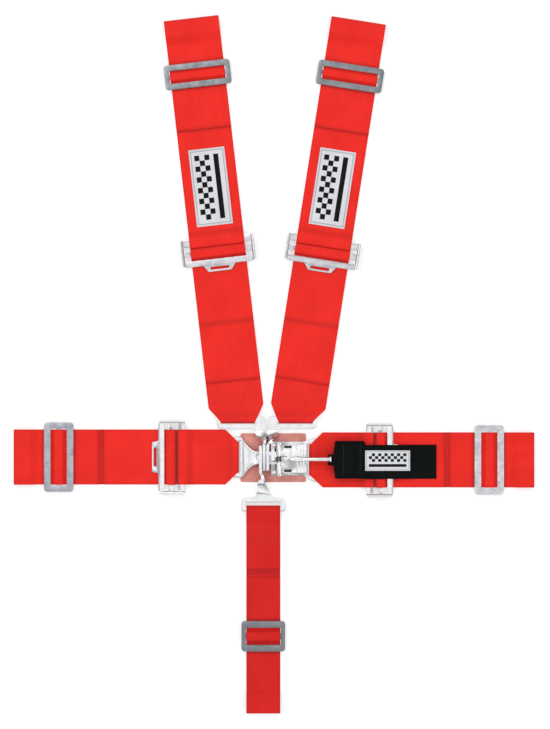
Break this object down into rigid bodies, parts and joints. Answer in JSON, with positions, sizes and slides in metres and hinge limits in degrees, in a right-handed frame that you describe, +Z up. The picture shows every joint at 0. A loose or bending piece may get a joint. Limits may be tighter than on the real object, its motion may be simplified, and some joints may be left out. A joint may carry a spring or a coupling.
{
  "type": "racing harness",
  "caption": "Five-point racing harness with latch-and-link buckle, lap, shoulder and crotch straps, tilt-lock adjusters and wrap-around ends, laid flat.",
  "frame": {"origin": "underside of the buckle pad, at its middle", "axes": "+Z up from the surface the harness lies on; +Y from the buckle along the shoulder straps; +X along the right lap strap"},
  "size_m": [0.721, 0.9672, 0.0212],
  "materials": {
    "red_webbing": "woven polyester belt, dull",
    "crotch_webbing": "woven polyester belt, dull, darker red",
    "black_webbing": "woven nylon, dull",
    "chrome": "polished plate",
    "zinc_steel": "satin zinc plate",
    "spring_steel": "drawn wire",
    "leather": "natural tan leather, matt",
    "label": "woven satin label, blank"
  },
  "bodies": {
    "latch_side": {"buckle_pad": "leather", "latch_base": "chrome", "latch_hinge_pin": "chrome", "lever_spring": "spring_steel", "right_lap_inner_webbing": "red_webbing", "right_lap_outer_webbing": "red_webbing"},
    "lever": {"latch_lever": "chrome"},
    "pull_tab_group": {"pull_tab": "black_webbing", "pull_tab_label": "label"},
    "left_lap": {"lap_link": "chrome", "left_lap_inner_webbing": "red_webbing", "left_lap_outer_webbing": "red_webbing"},
    "left_shoulder": {"left_shoulder_link": "chrome", "left_shoulder_lower_webbing": "red_webbing", "left_shoulder_upper_webbing": "red_webbing", "left_shoulder_label": "label"},
    "right_shoulder": {"right_shoulder_link": "chrome", "right_shoulder_lower_webbing": "red_webbing", "right_shoulder_upper_webbing": "red_webbing", "right_shoulder_label": "label"},
    "crotch": {"crotch_link": "chrome", "crotch_webbing": "crotch_webbing"},
    "left_lap_adjuster": {"left_lap_adjuster_frame": "chrome"},
    "left_lap_slider": {"left_lap_slider_bar": "chrome"},
    "left_lap_three_bar_slide": {"left_lap_slide": "zinc_steel"},
    "right_lap_adjuster": {"right_lap_adjuster_frame": "chrome"},
    "right_lap_slider": {"right_lap_slider_bar": "chrome"},
    "right_lap_three_bar_slide": {"right_lap_slide": "zinc_steel"},
    "left_shoulder_adjuster": {"left_shoulder_adjuster_frame": "chrome"},
    "left_shoulder_slider": {"left_shoulder_slider_bar": "chrome"},
    "left_shoulder_three_bar_slide": {"left_shoulder_slide": "zinc_steel"},
    "right_shoulder_adjuster": {"right_shoulder_adjuster_frame": "chrome"},
    "right_shoulder_slider": {"right_shoulder_slider_bar": "chrome"},
    "right_shoulder_three_bar_slide": {"right_shoulder_slide": "zinc_steel"},
    "crotch_three_bar_slide": {"crotch_slide": "zinc_steel"}
  },
  "joints": [
    {"name": "lever_hinge", "type": "hinge", "parent": "latch_side", "child": "lever", "pos_m": [0.008, -0.001, 0.0162], "axis": [0, -1, 0], "range_deg": [0, 105], "deforming": ["lever_spring"]},
    {"name": "pull_tab_hinge", "type": "hinge", "parent": "lever", "child": "pull_tab_group", "pos_m": [0.079, -0.0015, 0.0152], "axis": [0, -1, 0], "range_deg": [0, 90]},
    {"name": "left_lap_release", "type": "slide", "parent": "latch_side", "child": "left_lap", "axis": [-1, 0, 0], "range_m": [0, 0.042]},
    {"name": "left_shoulder_swing", "type": "hinge", "parent": "left_lap", "child": "left_shoulder", "pos_m": [-0.0125, 0, 0], "axis": [0, 0, 1], "range_deg": [-1.5, 0.5]},
    {"name": "right_shoulder_swing", "type": "hinge", "parent": "left_lap", "child": "right_shoulder", "pos_m": [-0.0075, 0, 0], "axis": [0, 0, 1], "range_deg": [-1.5, 1.5]},
    {"name": "crotch_swing", "type": "hinge", "parent": "left_lap", "child": "crotch", "pos_m": [-0.0175, 0, 0], "axis": [0, 0, 1], "range_deg": [-1.5, 1.5]},
    {"name": "left_lap_adjuster_tilt", "type": "hinge", "parent": "left_lap", "child": "left_lap_adjuster", "pos_m": [-0.1264, 0.001, 0.0043], "axis": [0, 1, 0], "range_deg": [0, 35], "deforming": ["left_lap_outer_webbing", "left_lap_inner_webbing"]},
    {"name": "left_lap_slider_shift", "type": "slide", "parent": "left_lap_adjuster", "child": "left_lap_slider", "axis": [-1, 0, 0], "range_m": [-0.0015, 0.0015], "deforming": ["left_lap_outer_webbing"]},
    {"name": "left_lap_slide_shift", "type": "slide", "parent": "left_lap", "child": "left_lap_three_bar_slide", "axis": [-1, 0, 0], "range_m": [-0.012, 0.012], "deforming": ["left_lap_outer_webbing"]},
    {"name": "right_lap_adjuster_tilt", "type": "hinge", "parent": "latch_side", "child": "right_lap_adjuster", "pos_m": [0.1336, -0.003, 0.0043], "axis": [0, -1, 0], "range_deg": [0, 35], "deforming": ["right_lap_outer_webbing", "right_lap_inner_webbing", "pull_tab", "pull_tab_label"]},
    {"name": "right_lap_slider_shift", "type": "slide", "parent": "right_lap_adjuster", "child": "right_lap_slider", "axis": [1, 0, 0], "range_m": [-0.0015, 0.0015], "deforming": ["right_lap_outer_webbing"]},
    {"name": "right_lap_slide_shift", "type": "slide", "parent": "latch_side", "child": "right_lap_three_bar_slide", "axis": [1, 0, 0], "range_m": [-0.012, 0.012], "deforming": ["right_lap_outer_webbing"]},
    {"name": "left_shoulder_adjuster_tilt", "type": "hinge", "parent": "left_shoulder", "child": "left_shoulder_adjuster", "pos_m": [-0.07805, 0.30031, 0.0043], "axis": [-0.9934, -0.1149, 0], "range_deg": [0, 35], "deforming": ["left_shoulder_lower_webbing", "left_shoulder_upper_webbing"]},
    {"name": "left_shoulder_slider_shift", "type": "slide", "parent": "left_shoulder_adjuster", "child": "left_shoulder_slider", "axis": [0.1149, -0.9934, 0], "range_m": [-0.0015, 0.0015], "deforming": ["left_shoulder_lower_webbing"]},
    {"name": "left_shoulder_slide_shift", "type": "slide", "parent": "left_shoulder", "child": "left_shoulder_three_bar_slide", "axis": [-0.1149, 0.9934, 0], "range_m": [-0.012, 0.012], "deforming": ["left_shoulder_upper_webbing"]},
    {"name": "right_shoulder_adjuster_tilt", "type": "hinge", "parent": "right_shoulder", "child": "right_shoulder_adjuster", "pos_m": [0.07037, 0.29894, 0.0043], "axis": [-0.988, 0.1547, 0], "range_deg": [0, 35], "deforming": ["right_shoulder_lower_webbing", "right_shoulder_upper_webbing"]},
    {"name": "right_shoulder_slider_shift", "type": "slide", "parent": "right_shoulder_adjuster", "child": "right_shoulder_slider", "axis": [-0.1547, -0.988, 0], "range_m": [-0.0015, 0.0015], "deforming": ["right_shoulder_lower_webbing"]},
    {"name": "right_shoulder_slide_shift", "type": "slide", "parent": "right_shoulder", "child": "right_shoulder_three_bar_slide", "axis": [0.1547, 0.988, 0], "range_m": [-0.012, 0.012], "deforming": ["right_shoulder_upper_webbing"]},
    {"name": "crotch_slide_shift", "type": "slide", "parent": "crotch", "child": "crotch_three_bar_slide", "axis": [0, -1, 0], "range_m": [-0.012, 0.012], "deforming": ["crotch_webbing"]}
  ],
  "couplings": [
    {"joint": "left_lap_release", "follows": "lever_hinge", "m_per_rad": 0.0229}
  ]
}
